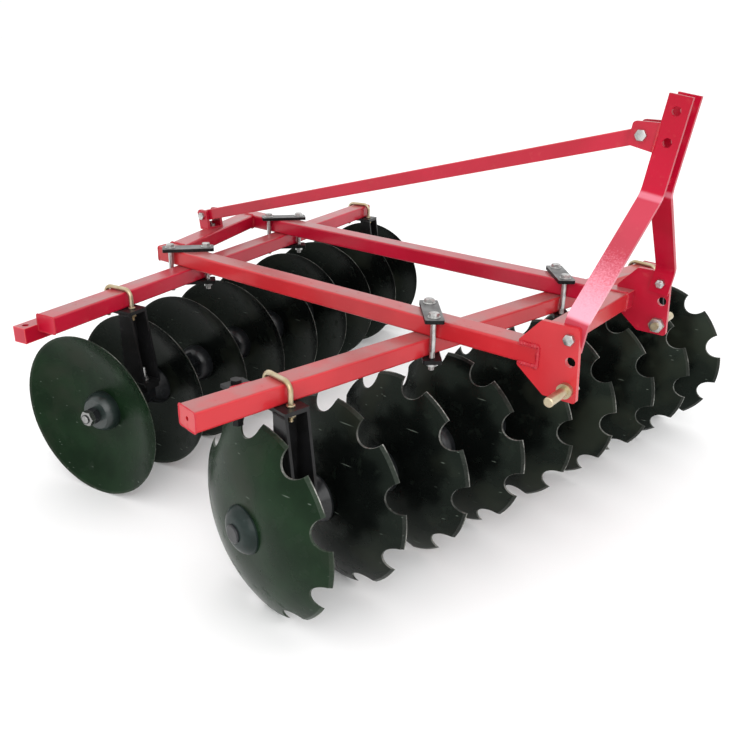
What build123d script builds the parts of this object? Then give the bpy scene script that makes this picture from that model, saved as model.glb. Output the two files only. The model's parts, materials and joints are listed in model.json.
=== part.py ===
from math import asin, atan2, cos, degrees, hypot, radians, sin, tan
import os

from build123d import *

os.makedirs("parts", exist_ok=True)

# Place of the hitch centre line, so that the origin lies under the middle of the whole machine
hitch_x = -12.49
hitch_y = -37.88

# Discs
disc_d = 460.0
disc_t = 4.0
disc_flat_r = 60.0
disc_dish = 56.0
disc_pitch = 200.0
disc_count = 9
edge_bevel = 10.0
edge_land = 1.0
notch_count = 9
notch_r = 36.0
notch_out = 2.0
notch_turn = 161.0
quarter_turns = (0, 0, 2, 3, 1, 2, 3, 2, 0)

# Gangs: the rear one is the front one turned round, so that it throws the soil back
gang_angle = 10.0
front_gang_x = 480.0
rear_gang_x = -480.0
front_gang_shift = 0.0
rear_gang_shift = 162.0
axle_side = 30.0
axle_fit = 0.2
thread_r = 13.0
thread_out = 4.0
head_r = 21.0
head_t = 6.0
end_washer_r = 56.0
dome_h = 24.0
dome_top_r = 24.0
dome_lip = 4.0
dome_mid_h = 0.75
dome_mid_r = 0.78
cup_h = 36.0
cup_face_r = 42.0
cup_mid_h = 0.7
cup_mid_r = 0.92
axle_nut_r = 22.0
axle_nut_t = 18.0
lock_nut_t = 16.0

# Spools and bearings
spool_r = 58.0
bell_lip = 5.0
bell_run = 42.0
bell_bulge = 6.0
spool_waist_r = 32.0
spool_rib_r = 45.0
spool_rib_t = 7.0
sleeve_r = 30.0
collar_r = 40.0
collar_gap = 5.0
running_gap = 0.08
housing_w = 50.0
housing_r = 50.0
housing_flange_t = 12.0

# Hangers under the beams
front_hanger_shift = -5.0
rear_right_hanger_shift = -10.0
rear_left_hanger_shift = -55.0
hanger_w = 62.0
hanger_wall = 7.0
hanger_web_out = 25.0
hanger_plate_t = 10.0
hanger_plate_d = 132.0
hanger_flange_t = 10.0
hanger_flange_d = 190.0
hanger_low_z = 62.0
bearing_bolt_y = 66.0
bearing_bolt_r = 6.0
bearing_bolt_end = 36.0
u_bolt_r = 6.0
u_bolt_gap = 8.0
u_bolt_bend = 20.0
u_bolt_end = 24.0

# Nuts and bolt heads: corner radius and height over the bolt's radius
nut_share = 1.8
nut_height = 1.6
head_share = 1.6
head_height = 1.25
slim_share = 1.4
pin_nut_height = 1.3

# Frame tubes
tube_w = 60.0
tube_h = 45.0
tube_edge = 6.0
disc_clear = 45.0
rail_mid = 251.0
rail_front = 730.0
right_rail_back = -541.0
left_rail_back = -720.0
front_over_right = 210.0
front_over_left = 55.0
rear_over_right = 247.0
rear_over_left = 34.0
beam_hole_r = 5.0

# Side bar behind the rear beam and side bracket behind the front beam
side_bar = 40.0
side_bar_length = 230.0
side_bar_out = 41.0
side_bar_drop = 23.0
side_bar_hole_r = 8.0
bracket_w = 54.0
bracket_d = 34.0
bracket_t = 8.0
bracket_drop = 5.0
bracket_bolt_r = 9.0
bracket_bolt_low = 53.0

# Clamps
clamp_t = 10.0
clamp_w = 45.0
clamp_corner = 5.0
clamp_bolt_r = 7.0
clamp_bolt_gap = 3.0
clamp_bolt_end = 10.0

# Hitch plates and lower pins
plate_t = 12.0
plate_inset = 2.0
plate_lap = 48.0
plate_reach = 97.0
plate_rise = 61.0
plate_drop = 106.0
plate_back_drop = 52.0
plate_back_rise = 7.0
plate_toe = 20.0
plate_corner = 8.0
pin_ahead = 72.0
pin_drop = 79.0
pin_r = 11.0
pin_step = 1.0
pin_chamfer = 2.2
pin_out = 84.0
pin_collar_r = 17.0
pin_collar_t = 12.0
spare_ahead = 74.0
spare_drop = 16.0
spare_hole_r = 11.5

# Mast, ears and brace
strap_bolt_ahead = 67.0
strap_bolt_rise = 34.0
strap_bolt_end = 20.0
bolt_r = 8.0
bolt_fit = 0.1
mast_lean = 8.0
strap_t = 10.0
strap_w = 50.0
strap_gap = 44.0
strap_below = 28.0
strap_bend_z = 42.0
strap_kink_z = 272.0
strap_top_z = 478.0
strap_bend_r = 40.0
top_hole_r = 10.0
upper_hole_z = 446.0
lower_hole_z = 382.0
spacer_h = 10.0
spacer_d = 34.0
ear_reach = 57.0
ear_z = 385.0
ear_round = 25.0
brace_w = 40.0
brace_h = 34.0
brace_end = 22.0
brace_back_end = 34.0
lug_in = 8.0
lug_rise = 41.0
lug_half = 20.0
lug_top = 19.0
lug_foot_t = 6.0
foot_bolt_r = 6.0
lug_foot_gap = 8.0

# Heights and places that follow from the sizes above
axle_z = disc_d / 2
beam_low = disc_d + disc_clear
beam_top = beam_low + tube_h
rail_top = beam_top + tube_h
rail_middle_z = rail_top - tube_h / 2
disc_depth = disc_t + disc_dish
half_gang = disc_pitch * (disc_count - 1) / 2
spool_length = disc_pitch - disc_t
plate_outer = rail_mid + tube_w / 2 - plate_inset
base = Location((hitch_x, hitch_y, 0))
front_axle_line = base * Location((front_gang_x, 0, axle_z), (0, 0, 90 - gang_angle))
rear_axle_line = base * Location((rear_gang_x, 0, axle_z), (0, 0, 90 + gang_angle))
front_gang = front_axle_line * Location((front_gang_shift, 0, 0))
rear_gang = rear_axle_line * Location((rear_gang_shift, 0, 0), (0, 0, 180))
mast = base * Location((rail_front + strap_bolt_ahead, 0, rail_top + strap_bolt_rise), (0, mast_lean, 0))


def placed(location, plane):
    return Plane(location * plane.location)


def save(part, label):
    part.label = label
    export_step(part, "parts/" + label + ".step")


# Hexagon nut or bolt head on the local XY plane
def hexagon(location, across_r, thickness, bore_r=0):
    with BuildPart() as nut:
        with BuildSketch(placed(location, Plane.XY)):
            RegularPolygon(across_r, 6)
            if bore_r:
                Circle(bore_r, mode=Mode.SUBTRACT)
        extrude(amount=thickness)
    return nut.part


# Rails that run fore and aft
for side, label, back in ((-1, "right_rail", right_rail_back), (1, "left_rail", left_rail_back)):
    with BuildPart() as rail:
        with Locations(base * Location(((rail_front + back) / 2, side * rail_mid, rail_middle_z))):
            Box(rail_front - back, tube_w, tube_h)
        fillet(rail.edges().filter_by(Axis.X), tube_edge)
    save(rail.part, label)

# Front cross tube between the rails
inner_y = rail_mid - tube_w / 2
with BuildPart() as front_cross:
    with Locations(base * Location((rail_front - tube_w / 2, 0, rail_middle_z))):
        Box(tube_w, 2 * inner_y, tube_h)
    fillet(front_cross.edges().filter_by(Axis.Y), tube_edge)
save(front_cross.part, "front_cross_tube")

# Slanting rear cross tube, cut flush to the rails' inner faces
slant = (left_rail_back - right_rail_back) / (2 * rail_mid)
cross_back = (left_rail_back + right_rail_back) / 2
cross_run = tube_w * (1 + slant ** 2) ** 0.5
with BuildPart() as rear_cross:
    with BuildSketch(placed(base, Plane.XY.offset(rail_top - tube_h))):
        with BuildLine():
            Polyline(
                (cross_back - slant * inner_y, -inner_y),
                (cross_back - slant * inner_y + cross_run, -inner_y),
                (cross_back + slant * inner_y + cross_run, inner_y),
                (cross_back + slant * inner_y, inner_y),
                close=True,
            )
        make_face()
    extrude(amount=tube_h)
    long_edges = rear_cross.edges().filter_by(lambda edge: edge.length > 2 * inner_y)
    fillet(long_edges, tube_edge)
save(rear_cross.part, "rear_cross_tube")


# Dished disc about the local X axis: flat back at zero, hollow towards +X, ground to an edge at the rim
def dished_disc(notches):
    rise = disc_d / 2 - disc_flat_r
    hollow_r = (rise ** 2 + disc_dish ** 2) / (2 * disc_dish)
    back_r = hollow_r + disc_t
    turn = asin(rise / hollow_r)
    back_turn = turn - edge_bevel / back_r

    def on_arc(radius, angle):
        return (back_r - radius * cos(angle), disc_flat_r + radius * sin(angle))

    with BuildPart() as disc:
        with BuildSketch(Plane.XZ):
            with BuildLine():
                Line((0, 0), (0, disc_flat_r))
                ThreePointArc((0, disc_flat_r), on_arc(back_r, back_turn / 2), on_arc(back_r, back_turn))
                Line(on_arc(back_r, back_turn), (disc_depth - edge_land, disc_d / 2))
                Line((disc_depth - edge_land, disc_d / 2), (disc_depth, disc_d / 2))
                ThreePointArc(on_arc(hollow_r, turn), on_arc(hollow_r, turn / 2), (disc_t, disc_flat_r))
                Line((disc_t, disc_flat_r), (disc_t, 0))
                Line((disc_t, 0), (0, 0))
            make_face()
        revolve(axis=Axis.X)
        Box(4 * disc_t, axle_side + 2 * axle_fit, axle_side + 2 * axle_fit, mode=Mode.SUBTRACT)
        if notches:
            with BuildSketch(Plane.YZ):
                with PolarLocations(disc_d / 2 + notch_out, notch_count, start_angle=notch_turn):
                    Circle(notch_r)
            extrude(amount=2 * disc_depth, both=True, mode=Mode.SUBTRACT)
    return disc.part


# Cast spool between two discs, from 0 to its length along the local X axis: two bells, a waist and ribs
def spool(length):
    shoulder = ((bell_lip + bell_run) / 2 + bell_bulge, (spool_r + spool_waist_r) / 2 + bell_bulge)
    with BuildPart() as body:
        with BuildSketch(Plane.XZ):
            with BuildLine():
                Polyline((length / 2, 0), (0, 0), (0, spool_r), (bell_lip, spool_r))
                ThreePointArc((bell_lip, spool_r), shoulder, (bell_run, spool_waist_r))
                Polyline((bell_run, spool_waist_r), (length / 2, spool_waist_r), (length / 2, 0))
            make_face()
        revolve(axis=Axis.X)
        mirror(about=Plane.YZ.offset(length / 2))
        for turn in (0, 60, 120):
            with Locations(Location((length / 2, 0, 0), (turn, 0, 0))):
                Box(length - 4 * bell_lip, spool_rib_t, 2 * spool_rib_r)
        with Locations((length / 2, 0, 0)):
            Box(2 * length, axle_side + 2 * axle_fit, axle_side + 2 * axle_fit, mode=Mode.SUBTRACT)
    return body.part


# Sleeve that turns in a bearing, widening to a bell against the disc on each side
def bearing_sleeve(length, centre):
    low = centre - housing_w / 2 - collar_gap
    high = centre + housing_w / 2 + collar_gap
    low_bell = (bell_lip + low) / 2
    high_bell = length - (length - high + bell_lip) / 2
    with BuildPart() as body:
        with BuildSketch(Plane.XZ):
            with BuildLine():
                Polyline(
                    (0, 0), (length, 0), (length, spool_r), (length - bell_lip, spool_r),
                    (high_bell, collar_r), (high, collar_r), (high, sleeve_r),
                    (low, sleeve_r), (low, collar_r), (low_bell, collar_r),
                    (bell_lip, spool_r), (0, spool_r),
                    close=True,
                )
            make_face()
        revolve(axis=Axis.X)
        with Locations((length / 2, 0, 0)):
            Box(2 * length, axle_side + 2 * axle_fit, axle_side + 2 * axle_fit, mode=Mode.SUBTRACT)
    return body.part


# Domed washer on the round back of the first disc, and cup washer in the hollow of the last one
def end_washer(profile):
    lip, middle, face = profile
    with BuildPart() as washer:
        with BuildSketch(Plane.XZ):
            with BuildLine():
                Polyline((0, 0), (0, end_washer_r), lip)
                ThreePointArc(lip, middle, face)
                Polyline(face, (face[0], 0), (0, 0))
            make_face()
        revolve(axis=Axis.X)
        Box(4 * cup_h, axle_side + 2 * axle_fit, axle_side + 2 * axle_fit, mode=Mode.SUBTRACT)
    return washer.part


dome_middle = (-dome_mid_h * dome_h, dome_mid_r * end_washer_r)
dome_profile = ((-dome_lip, end_washer_r), dome_middle, (-dome_h, dome_top_r))
cup_middle = (cup_mid_h * cup_h, cup_mid_r * end_washer_r)
cup_profile = ((dome_lip, end_washer_r), cup_middle, (cup_h, cup_face_r))

# The two gangs: discs, spools, sleeves, axle, washers, nuts, and the hangers that carry them
front_first = front_gang_shift - half_gang
front_gap_s = front_first + disc_t + spool_length / 2 + front_hanger_shift
rear_first = rear_gang_shift - half_gang
rear_gap_s = rear_first + disc_pitch - disc_t - spool_length / 2
last_gap = disc_pitch * (disc_count - 2)
hanger_places = {
    "front": (front_gap_s, front_gap_s + last_gap),
    "rear": (rear_gap_s + rear_right_hanger_shift, rear_gap_s + last_gap + rear_left_hanger_shift),
}
beam_ends = {
    "front": (hanger_places["front"][0] - front_over_right, hanger_places["front"][1] + front_over_left),
    "rear": (hanger_places["rear"][0] - rear_over_right, hanger_places["rear"][1] + rear_over_left),
}
beam_low_local = beam_low - axle_z
leg_y = tube_w / 2 + u_bolt_r + u_bolt_gap
nut_r = nut_share * u_bolt_r
for name, line, gang in (("front", front_axle_line, front_gang), ("rear", rear_axle_line, rear_gang)):
    with BuildPart() as beam:
        low_end, high_end = beam_ends[name]
        with Locations(line * Location(((low_end + high_end) / 2, 0, beam_low_local + tube_h / 2))):
            Box(high_end - low_end, tube_w, tube_h)
        along = Axis((line * Plane.XY).origin, (line * Plane.XY).x_dir)
        fillet(beam.edges().filter_by(along), tube_edge)
        if name == "front":
            with Locations(line * Location((low_end, 0, beam_low_local + tube_h / 2), (0, 90, 0))):
                Cylinder(beam_hole_r, tube_h, mode=Mode.SUBTRACT)
    save(beam.part, name + "_gang_beam")

    backs = [index * disc_pitch - half_gang for index in range(disc_count)]
    first = backs[0]
    last = backs[-1] + disc_t
    disc = dished_disc(name == "front")
    with BuildPart() as discs:
        for index, back in enumerate(backs):
            quarter = quarter_turns[index % len(quarter_turns)]
            with Locations(gang * Location((back, 0, 0), (90 * quarter, 0, 0))):
                add(disc)
    save(discs.part, name + "_discs")

    one_spool = spool(spool_length)
    with BuildPart() as spools:
        with Locations([gang * Location((back + disc_t, 0, 0)) for back in backs[1:-2]]):
            add(one_spool)
    save(spools.part, name + "_spools")

    with BuildPart() as sleeves:
        for hanger_s in hanger_places[name]:
            place = (gang.inverse() * line * Location((hanger_s, 0, 0))).position.X
            start = backs[0 if place < 0 else -2] + disc_t
            with Locations(gang * Location((start, 0, 0))):
                add(bearing_sleeve(spool_length, place - start))
    save(sleeves.part, name + "_bearing_sleeves")

    with BuildPart() as axle:
        with Locations(gang * Location(((first - dome_h + last + cup_h) / 2, 0, 0))):
            Box(last + cup_h - first + dome_h, axle_side, axle_side)
        with BuildSketch(placed(gang, Plane.YZ.offset(last + cup_h))):
            Circle(thread_r)
        extrude(amount=axle_nut_t + lock_nut_t + thread_out)
        with BuildSketch(placed(gang, Plane.YZ.offset(first - dome_h))):
            Circle(head_r)
        extrude(amount=-head_t)
        axle_run = Axis((gang * Plane.XY).origin, (gang * Plane.XY).x_dir)
        fillet(axle.faces().sort_by(axle_run)[0].edges(), head_t / 2)
    save(axle.part, name + "_axle")

    with BuildPart() as washers:
        with Locations(gang * Location((first, 0, 0))):
            add(end_washer(dome_profile))
        with Locations(gang * Location((last, 0, 0))):
            add(end_washer(cup_profile))
    save(washers.part, name + "_end_washers")

    with BuildPart() as nuts:
        nut_spot = gang * Location((last + cup_h, 0, 0), (0, 90, 0))
        add(hexagon(nut_spot, axle_nut_r, axle_nut_t, thread_r + bolt_fit))
        lock_spot = gang * Location((last + cup_h + axle_nut_t + bolt_fit, 0, 0), (0, 90, 0))
        add(hexagon(lock_spot, axle_nut_r, lock_nut_t, thread_r + bolt_fit))
    save(nuts.part, name + "_axle_nuts")

    bearing_bolts = []
    for side, hanger_s in zip(("right", "left"), hanger_places[name]):
        spot = line * Location((hanger_s, 0, 0))
        column_top = beam_low_local - hanger_plate_t
        column_low = hanger_low_z + hanger_flange_t
        bolt_spots = [spot * Location((0, y, hanger_low_z)) for y in (-bearing_bolt_y, bearing_bolt_y)]
        with BuildPart() as hanger:
            with Locations(spot * Location((0, 0, beam_low_local - hanger_plate_t / 2))):
                Box(hanger_w, hanger_plate_d, hanger_plate_t)
            with BuildSketch(placed(spot, Plane.YZ)):
                with BuildLine():
                    Polyline(
                        (-hanger_web_out, column_low), (-hanger_flange_d / 2, column_low),
                        (-hanger_plate_d / 2, column_top), (-hanger_web_out, column_top),
                        close=True,
                    )
                make_face()
            extrude(amount=hanger_w / 2, both=True)
            with BuildSketch(placed(spot, Plane.YZ)):
                with BuildLine():
                    Polyline(
                        (-hanger_web_out - hanger_wall, column_low), (-hanger_flange_d, column_low),
                        (-hanger_flange_d, column_top), (-hanger_web_out - hanger_wall, column_top),
                        close=True,
                    )
                make_face()
            extrude(amount=hanger_w / 2 - hanger_wall, both=True, mode=Mode.SUBTRACT)
            with Locations(spot * Location((0, 0, column_low - hanger_flange_t / 2))):
                Box(hanger_w, hanger_flange_d, hanger_flange_t)
            with Locations(*[spot * Location((0, y, beam_low_local)) for y in (-leg_y, leg_y)]):
                Cylinder(u_bolt_r + axle_fit, 4 * hanger_plate_t, mode=Mode.SUBTRACT)
            with Locations(*bolt_spots):
                Cylinder(bearing_bolt_r + axle_fit, 4 * hanger_flange_t, mode=Mode.SUBTRACT)
        save(hanger.part, name + "_" + side + "_hanger")

        flange_low = hanger_low_z - housing_flange_t
        with BuildPart() as housing:
            with BuildSketch(placed(spot, Plane.YZ)):
                Circle(housing_r)
                with Locations((0, hanger_low_z / 2)):
                    Rectangle(2 * housing_r, hanger_low_z)
                with Locations((0, hanger_low_z - housing_flange_t / 2)):
                    Rectangle(hanger_flange_d, housing_flange_t)
                Circle(sleeve_r + running_gap, mode=Mode.SUBTRACT)
            extrude(amount=housing_w / 2, both=True)
            with Locations(*bolt_spots):
                Cylinder(bearing_bolt_r + axle_fit, 4 * housing_flange_t, mode=Mode.SUBTRACT)
        save(housing.part, name + "_" + side + "_bearing")

        for y in (-bearing_bolt_y, bearing_bolt_y):
            head_spot = spot * Location((0, y, flange_low - bearing_bolt_r))
            top_spot = spot * Location((0, y, column_low))
            with BuildPart() as bearing_bolt:
                add(hexagon(head_spot, nut_share * bearing_bolt_r, bearing_bolt_r))
                with BuildSketch(placed(head_spot, Plane.XY)):
                    Circle(bearing_bolt_r)
                extrude(amount=bearing_bolt_r + column_low - flange_low + bearing_bolt_end)
                add(hexagon(top_spot, nut_share * bearing_bolt_r, nut_height * bearing_bolt_r))
            bearing_bolts.append(bearing_bolt.part)

        bend_top = beam_low_local + tube_h + u_bolt_r + axle_fit
        leg_low = beam_low_local - hanger_plate_t - u_bolt_end
        corners = ((-leg_y, leg_low), (-leg_y, bend_top), (leg_y, bend_top), (leg_y, leg_low))
        with BuildPart() as u_bolt:
            with BuildLine():
                path = FilletPolyline(
                    *[(spot * Location((0, y, z))).position for y, z in corners], radius=u_bolt_bend,
                )
            with BuildSketch(Plane(path @ 0, z_dir=path % 0)):
                Circle(u_bolt_r)
            sweep(path=path)
            for leg in (-leg_y, leg_y):
                add(hexagon(spot * Location((0, leg, column_top - 2 * u_bolt_r)), nut_r, 2 * u_bolt_r))
        save(u_bolt.part, name + "_" + side + "_u_bolt")

    with BuildPart() as bolts:
        for bearing_bolt in bearing_bolts:
            add(bearing_bolt)
    save(bolts.part, name + "_bearing_bolts")

# Side bar welded behind the right end of the rear beam, with a pin hole through it
bar_start = beam_ends["rear"][0] - side_bar_out
bar_y = tube_w / 2 + side_bar / 2
bar_z = beam_low_local - side_bar_drop + side_bar / 2
with BuildPart() as bar:
    with Locations(rear_axle_line * Location((bar_start + side_bar_length / 2, bar_y, bar_z))):
        Box(side_bar_length, side_bar, side_bar)
    with Locations(rear_axle_line * Location((bar_start + side_bar_out / 2, bar_y, bar_z))):
        Cylinder(side_bar_hole_r, 2 * side_bar, mode=Mode.SUBTRACT)
save(bar.part, "rear_side_bar")

# Side bracket behind the front beam, with a long bolt that hangs beside the first disc
bracket_s = front_first + disc_dish / 2
bracket_y = tube_w / 2 + bracket_d / 2
bracket_z = beam_low_local + tube_h - bracket_drop
with BuildPart() as bracket:
    with Locations(front_axle_line * Location((bracket_s, bracket_y, bracket_z - bracket_t / 2))):
        Box(bracket_w, bracket_d, bracket_t)
        Cylinder(bracket_bolt_r + axle_fit, 2 * bracket_t, mode=Mode.SUBTRACT)
save(bracket.part, "front_side_bracket")

with BuildPart() as bracket_bolt:
    head = front_axle_line * Location((bracket_s, bracket_y, bracket_z))
    nut_low = front_axle_line * Location((bracket_s, bracket_y, beam_low_local - bracket_bolt_low))
    add(hexagon(head, slim_share * bracket_bolt_r, bracket_bolt_r))
    with BuildSketch(placed(nut_low, Plane.XY)):
        Circle(bracket_bolt_r)
    extrude(amount=bracket_bolt_low + tube_h - bracket_drop)
    add(hexagon(nut_low, slim_share * bracket_bolt_r, 2 * bracket_bolt_r))
save(bracket_bolt.part, "front_side_bolt")

# Clamps that hold the rails on the gang beams
reach_y = tube_w / 2 + clamp_bolt_r + clamp_bolt_gap
reach_x = reach_y * (1 - sin(radians(gang_angle))) / cos(radians(gang_angle))
spread = 2 * hypot(reach_x, reach_y)
clamp_turn = degrees(atan2(reach_y, reach_x))
clamp_nut_t = nut_height * clamp_bolt_r
clamp_nut_r = nut_share * clamp_bolt_r
for name, gang_x, lean in (("front", front_gang_x, 1), ("rear", rear_gang_x, -1)):
    with BuildPart() as clamp_bolts:
        for side in (-1, 1):
            cross_x = gang_x + lean * side * rail_mid * tan(radians(gang_angle))
            for end in (-1, 1):
                bolt_x = cross_x + lean * end * reach_x
                bolt_y = side * rail_mid - end * reach_y
                place = base * Location((bolt_x, bolt_y, 0))
                shank_low = beam_low - clamp_t - clamp_nut_t - clamp_bolt_end
                with BuildSketch(placed(place * Location((0, 0, shank_low)), Plane.XY)):
                    Circle(clamp_bolt_r)
                extrude(amount=rail_top + clamp_t + clamp_nut_t - shank_low)
                add(hexagon(place * Location((0, 0, rail_top + clamp_t)), clamp_nut_r, clamp_nut_t))
                low_nut = place * Location((0, 0, beam_low - clamp_t - clamp_nut_t))
                add(hexagon(low_nut, clamp_nut_r, clamp_nut_t))
    save(clamp_bolts.part, name + "_clamp_bolts")

    for side, label in ((-1, "right"), (1, "left")):
        cross_x = gang_x + lean * side * rail_mid * tan(radians(gang_angle))
        with BuildPart() as clamp:
            for z in (rail_top, beam_low - clamp_t):
                spot = base * Location((cross_x, side * rail_mid, z), (0, 0, -clamp_turn * lean))
                with BuildSketch(placed(spot, Plane.XY)):
                    RectangleRounded(spread + clamp_w, clamp_w, clamp_corner)
                    with Locations((spread / 2, 0), (-spread / 2, 0)):
                        Circle(clamp_bolt_r + bolt_fit, mode=Mode.SUBTRACT)
                extrude(amount=clamp_t)
        save(clamp.part, name + "_" + label + "_clamp")

# Hitch plates, notched round the rail ends, with their pins and the mast straps
pin_x = rail_front + pin_ahead
pin_z = rail_top - pin_drop
pin_shank_r = pin_r - pin_step
pin_nut_t = pin_nut_height * pin_r
for side, label in ((-1, "right"), (1, "left")):
    with BuildPart() as plate:
        with BuildSketch(placed(base * Location((0, side * (plate_outer - plate_t / 2), 0)), Plane.XZ)):
            with BuildLine():
                FilletPolyline(
                    (rail_front, rail_top + plate_rise),
                    (rail_front + plate_reach - pin_r, rail_top + plate_rise),
                    (rail_front + plate_reach, rail_top - plate_drop),
                    (rail_front + plate_toe, rail_top - plate_drop),
                    (rail_front - plate_lap, rail_top - plate_back_drop),
                    (rail_front - plate_lap, rail_top + plate_back_rise),
                    close=True, radius=plate_corner,
                )
            make_face()
            with Locations((rail_front / 2 + bolt_fit, rail_middle_z)):
                Rectangle(rail_front, tube_h, mode=Mode.SUBTRACT)
            with Locations((rail_front + spare_ahead, rail_top - spare_drop)):
                Circle(spare_hole_r, mode=Mode.SUBTRACT)
            with Locations((pin_x, pin_z)):
                Circle(pin_shank_r + bolt_fit, mode=Mode.SUBTRACT)
            with Locations((rail_front + strap_bolt_ahead, rail_top + strap_bolt_rise)):
                Circle(bolt_r + bolt_fit, mode=Mode.SUBTRACT)
        extrude(amount=plate_t / 2, both=True)
    save(plate.part, label + "_hitch_plate")

    outward = (-90 * side, 0, 0)
    with BuildPart() as pin:
        foot = base * Location((pin_x, side * plate_outer, pin_z), outward)
        inner = base * Location((pin_x, side * (plate_outer - plate_t), pin_z), outward)
        for radius, low, high in (
            (pin_collar_r, 0, pin_collar_t),
            (pin_r, 0, pin_out),
            (pin_shank_r, -plate_t - 2 * pin_collar_t, 0),
        ):
            with BuildSketch(placed(foot * Location((0, 0, low)), Plane.XY)):
                Circle(radius)
            extrude(amount=high - low)
        add(hexagon(inner * Location((0, 0, -pin_nut_t)), nut_share * pin_r, pin_nut_t))
        tip = pin.faces().filter_by(GeomType.PLANE).sort_by(Axis.Y)[0 if side < 0 else -1]
        chamfer(tip.edges(), pin_chamfer)
    save(pin.part, label + "_lower_hitch_pin")

    low_y = side * (plate_outer - plate_t)
    top_y = side * (strap_gap / 2 + strap_t)
    with BuildPart() as strap:
        with BuildSketch(placed(mast, Plane.YZ)):
            with BuildLine():
                FilletPolyline(
                    (low_y, -strap_below), (low_y, strap_bend_z),
                    (top_y, strap_kink_z), (top_y, strap_top_z),
                    radius=strap_bend_r,
                )
                offset(amount=strap_t, side=Side.LEFT if side > 0 else Side.RIGHT)
            make_face()
        extrude(amount=strap_w / 2, both=True)
        with Locations(*[mast * Location((0, 0, z), (90, 0, 0)) for z in (upper_hole_z, lower_hole_z)]):
            Cylinder(top_hole_r, 4 * strap_gap, mode=Mode.SUBTRACT)
        with Locations(mast * Location((0, 0, 0), (90, 0, 0))):
            Cylinder(bolt_r + bolt_fit, 4 * plate_outer, mode=Mode.SUBTRACT)
    save(strap.part, label + "_mast_strap")

    bolt_head = mast * Location((0, side * plate_outer, 0), outward)
    bolt_nut = mast * Location((0, side * (plate_outer - plate_t - strap_t), 0), outward)
    with BuildPart() as strap_bolt:
        add(hexagon(bolt_head, head_share * bolt_r, head_height * bolt_r))
        with BuildSketch(placed(bolt_head, Plane.XY)):
            Circle(bolt_r)
        extrude(amount=-plate_t - strap_t - strap_bolt_end)
        add(hexagon(bolt_nut * Location((0, 0, -nut_height * bolt_r)), head_share * bolt_r, nut_height * bolt_r))
    save(strap_bolt.part, label + "_strap_bolt")

# Spacer between the straps, just above their bend
strap_run = plate_outer - plate_t - strap_gap / 2 - strap_t
bend_half = atan2(strap_run, strap_kink_z - strap_bend_z) / 2
spacer_z = strap_kink_z + strap_bend_r * tan(bend_half) + spacer_h
with BuildPart() as spacer:
    with Locations(mast * Location((0, 0, spacer_z))):
        Box(spacer_d, strap_gap, spacer_h)
save(spacer.part, "mast_spacer")

# Ears on the straps' rear edges
cheek_y = strap_gap / 2 + strap_t / 2
with BuildPart() as ears:
    for side in (-1, 1):
        with BuildSketch(placed(mast * Location((0, side * cheek_y, 0)), Plane.XZ)):
            with BuildLine():
                Polyline(
                    (-strap_w / 2, ear_z - ear_round - bolt_r / 2),
                    (-strap_w / 2, ear_z + ear_round + bolt_r),
                    (-ear_reach - ear_round, ear_z + ear_round),
                    (-ear_reach - ear_round, ear_z - ear_round),
                    close=True,
                )
            make_face()
            fillet(vertices().group_by(Axis.X)[0], bolt_r)
            with Locations((-ear_reach, ear_z)):
                Circle(bolt_r + bolt_fit, mode=Mode.SUBTRACT)
        extrude(amount=strap_t / 2, both=True)
save(ears.part, "mast_ears")

# Brace from the ears down to the clevis on the rear cross tube
lug_x = cross_back + lug_in
lug_z = rail_top + lug_rise
front_pivot = (mast * Location((-ear_reach, 0, ear_z))).position
rear_pivot = (base * Location((lug_x, 0, lug_z))).position
run = front_pivot - rear_pivot
brace_plane = Plane(rear_pivot, (run.X, 0, run.Z), (0, 1, 0))
with BuildPart() as brace:
    with BuildSketch(brace_plane):
        with Locations(((run.length + brace_end - brace_back_end) / 2, 0)):
            Rectangle(run.length + brace_end + brace_back_end, brace_h)
        with Locations((0, 0), (run.length, 0)):
            Circle(bolt_r + bolt_fit, mode=Mode.SUBTRACT)
    extrude(amount=brace_w / 2, both=True)
    fillet(brace.edges().filter_by(Axis(rear_pivot, run)), tube_edge / 2)
save(brace.part, "top_brace")

with BuildPart() as clevis:
    for side in (-1, 1):
        with BuildSketch(placed(base * Location((0, side * cheek_y, 0)), Plane.XZ)):
            with BuildLine():
                Polyline(
                    (lug_x - lug_half + bolt_r, rail_top), (lug_x + lug_half + bolt_r, rail_top),
                    (lug_x + lug_half, lug_z + lug_top), (lug_x - lug_half, lug_z + lug_top),
                    close=True,
                )
            make_face()
            fillet(vertices().group_by(Axis.Y)[-1], bolt_r)
            with Locations((lug_x, lug_z)):
                Circle(bolt_r + bolt_fit, mode=Mode.SUBTRACT)
        extrude(amount=strap_t / 2, both=True)
    foot_x = lug_x + bolt_r
    with Locations(base * Location((foot_x, 0, rail_top + lug_foot_t / 2))):
        Box(2 * lug_half, strap_gap, lug_foot_t)
        Cylinder(foot_bolt_r + bolt_fit, lug_foot_t, mode=Mode.SUBTRACT)
    back_h = lug_rise - brace_h / 2 - lug_foot_gap
    with Locations(base * Location((foot_x - lug_half + lug_foot_t / 2, 0, rail_top + back_h / 2))):
        Box(lug_foot_t, strap_gap, back_h)
save(clevis.part, "brace_clevis")

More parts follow.
